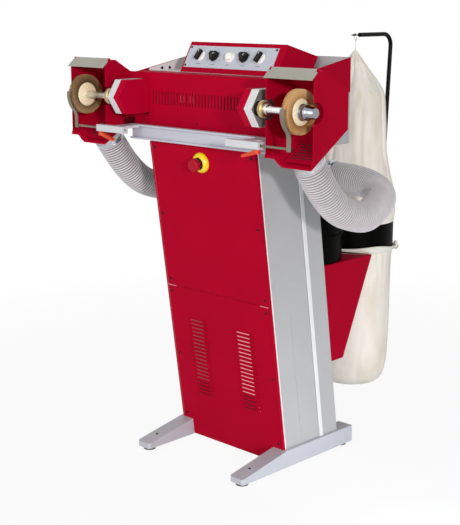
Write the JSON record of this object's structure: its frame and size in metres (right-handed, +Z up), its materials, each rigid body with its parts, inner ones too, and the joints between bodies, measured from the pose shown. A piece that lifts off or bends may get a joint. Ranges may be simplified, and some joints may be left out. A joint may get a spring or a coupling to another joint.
{
  "type": "polishing machine",
  "caption": "Free-standing brush polishing machine with hooded brushes on level spindles, sliding guards, a sloped console and hoses to a fan with hanging filter bags",
  "frame": {"origin": "on the floor, under the middle of the machine's box, without its hoses", "axes": "+X to the user's right along the spindles, +Y to the back, +Z up"},
  "size_m": [0.978, 1.036, 1.272],
  "materials": {
    "red_paint": "satin powder coat",
    "hood_paint": "satin powder coat",
    "bracket_paint": "satin powder coat",
    "grey_paint": "fine textured powder coat",
    "visor_paint": "satin",
    "plate_print": "satin",
    "rail_aluminium": "anodised",
    "plate_aluminium": "machined",
    "steel": "ground",
    "chrome": "polished",
    "brass": "knurled",
    "brush_wood": "plain beech",
    "bristle": "natural hair",
    "pipe_grey": "moulded",
    "hose_grey": "ribbed, flexible",
    "black_paint": "satin black",
    "bag_cloth": "woven filter cloth",
    "motor_grey": "cast",
    "pulley_aluminium": "turned",
    "belt_rubber": "matte",
    "pad_rubber": "matte",
    "orange_plastic": "moulded",
    "yellow_plastic": "moulded",
    "red_plastic": "moulded",
    "dark_plastic": "moulded",
    "lamp_white": "frosted lens"
  },
  "bodies": {
    "machine": {"upper_front_panel": "red_paint", "lower_front_panel": "red_paint", "body_sides": "red_paint", "beam_cover": "red_paint", "bearing_sleeves": "red_paint", "console_box": "red_paint", "hood_left": "hood_paint", "hood_right": "hood_paint", "suction_grilles": "hood_paint", "support_bracket": "bracket_paint", "column_sides": "grey_paint", "column_rear": "grey_paint", "feet": "grey_paint", "plinth": "grey_paint", "rear_cover": "grey_paint", "service_tray": "grey_paint", "control_plate": "plate_print", "guard_rail": "rail_aluminium", "clamp_blocks": "rail_aluminium", "bearing_plates": "plate_aluminium", "spindle_bearings": "steel", "hood_spigots": "pipe_grey", "inlet_manifold": "pipe_grey", "hose_left": "hose_grey", "hose_right": "hose_grey", "fan_housing": "black_paint", "bag_ring": "black_paint", "hanger_rod": "black_paint", "upper_bag": "bag_cloth", "lower_bag": "bag_cloth", "bag_hem": "bag_cloth", "drive_motors": "motor_grey", "drive_belts": "belt_rubber", "levelling_pads": "pad_rubber", "stop_ring": "yellow_plastic", "indicator_lamp": "lamp_white"},
    "stop_button": {"stop_button": "red_plastic"},
    "impeller": {"impeller": "motor_grey"},
    "spindle_left": {"spindle_left": "steel", "lock_collar_left": "brass", "brush_core_left": "brush_wood", "bristles_left": "bristle", "spindle_nut_left": "chrome"},
    "motor_pulley_left": {"motor_pulley_left": "pulley_aluminium"},
    "selector_left": {"selector_left": "dark_plastic"},
    "speed_knob_left": {"speed_knob_left": "dark_plastic"},
    "visor_left": {"visor_left": "visor_paint"},
    "guard_left": {"guard_left": "chrome"},
    "clamp_lever_left": {"clamp_lever_left": "orange_plastic"},
    "spindle_right": {"spindle_right": "steel", "lock_collar_right": "brass", "brush_core_right": "brush_wood", "bristles_right": "bristle", "spindle_nut_right": "chrome"},
    "motor_pulley_right": {"motor_pulley_right": "pulley_aluminium"},
    "selector_right": {"selector_right": "dark_plastic"},
    "speed_knob_right": {"speed_knob_right": "dark_plastic"},
    "visor_right": {"visor_right": "visor_paint"},
    "guard_right": {"guard_right": "chrome"},
    "clamp_lever_right": {"clamp_lever_right": "orange_plastic"}
  },
  "joints": [
    {"name": "stop_push", "type": "slide", "parent": "machine", "child": "stop_button", "axis": [0, 0.9899, 0.1416], "range_m": [0, 0.005], "stiffness_N_per_m": 1500},
    {"name": "impeller_spin", "type": "hinge", "parent": "machine", "child": "impeller", "pos_m": [0, 0.064, 0.6], "axis": [0, 0, 1], "continuous": true},
    {"name": "left_spindle_spin", "type": "hinge", "parent": "machine", "child": "spindle_left", "pos_m": [-0.431, -0.452, 1.095], "axis": [1, 0, 0], "continuous": true},
    {"name": "left_motor_spin", "type": "hinge", "parent": "machine", "child": "motor_pulley_left", "pos_m": [-0.252, -0.217, 1.083], "axis": [1, 0, 0], "continuous": true},
    {"name": "left_selector_turn", "type": "hinge", "parent": "machine", "child": "selector_left", "pos_m": [-0.128, -0.25581, 1.2122], "axis": [0, -0.8721, 0.4894], "range_deg": [-60, 0]},
    {"name": "left_speed_turn", "type": "hinge", "parent": "machine", "child": "speed_knob_left", "pos_m": [-0.0675, -0.25581, 1.2122], "axis": [0, -0.8721, 0.4894], "range_deg": [-135, 135]},
    {"name": "left_visor_swing", "type": "hinge", "parent": "machine", "child": "visor_left", "pos_m": [-0.4065, -0.4435, 1.2028], "axis": [-1, 0, 0], "range_deg": [0, 110]},
    {"name": "left_guard_slide", "type": "slide", "parent": "machine", "child": "guard_left", "axis": [-1, 0, 0], "range_m": [-0.05, 0.04]},
    {"name": "left_lever_turn", "type": "hinge", "parent": "machine", "child": "clamp_lever_left", "pos_m": [-0.318, -0.486, 0.986], "axis": [0, 0, 1], "range_deg": [-75, 75]},
    {"name": "right_spindle_spin", "type": "hinge", "parent": "machine", "child": "spindle_right", "pos_m": [0.431, -0.452, 1.095], "axis": [1, 0, 0], "continuous": true},
    {"name": "right_motor_spin", "type": "hinge", "parent": "machine", "child": "motor_pulley_right", "pos_m": [0.252, -0.217, 1.083], "axis": [1, 0, 0], "continuous": true},
    {"name": "right_selector_turn", "type": "hinge", "parent": "machine", "child": "selector_right", "pos_m": [0.114, -0.25581, 1.2122], "axis": [0, -0.8721, 0.4894], "range_deg": [-60, 0]},
    {"name": "right_speed_turn", "type": "hinge", "parent": "machine", "child": "speed_knob_right", "pos_m": [0.0535, -0.25581, 1.2122], "axis": [0, -0.8721, 0.4894], "range_deg": [-135, 135]},
    {"name": "right_visor_swing", "type": "hinge", "parent": "machine", "child": "visor_right", "pos_m": [0.4065, -0.4435, 1.2028], "axis": [-1, 0, 0], "range_deg": [0, 110]},
    {"name": "right_guard_slide", "type": "slide", "parent": "machine", "child": "guard_right", "axis": [1, 0, 0], "range_m": [-0.05, 0.04]},
    {"name": "right_lever_turn", "type": "hinge", "parent": "machine", "child": "clamp_lever_right", "pos_m": [0.318, -0.486, 0.986], "axis": [0, 0, 1], "range_deg": [-75, 75]}
  ],
  "couplings": [
    {"joint": "left_motor_spin", "follows": "left_spindle_spin", "ratio": 1.184},
    {"joint": "right_motor_spin", "follows": "right_spindle_spin", "ratio": 1.184}
  ]
}
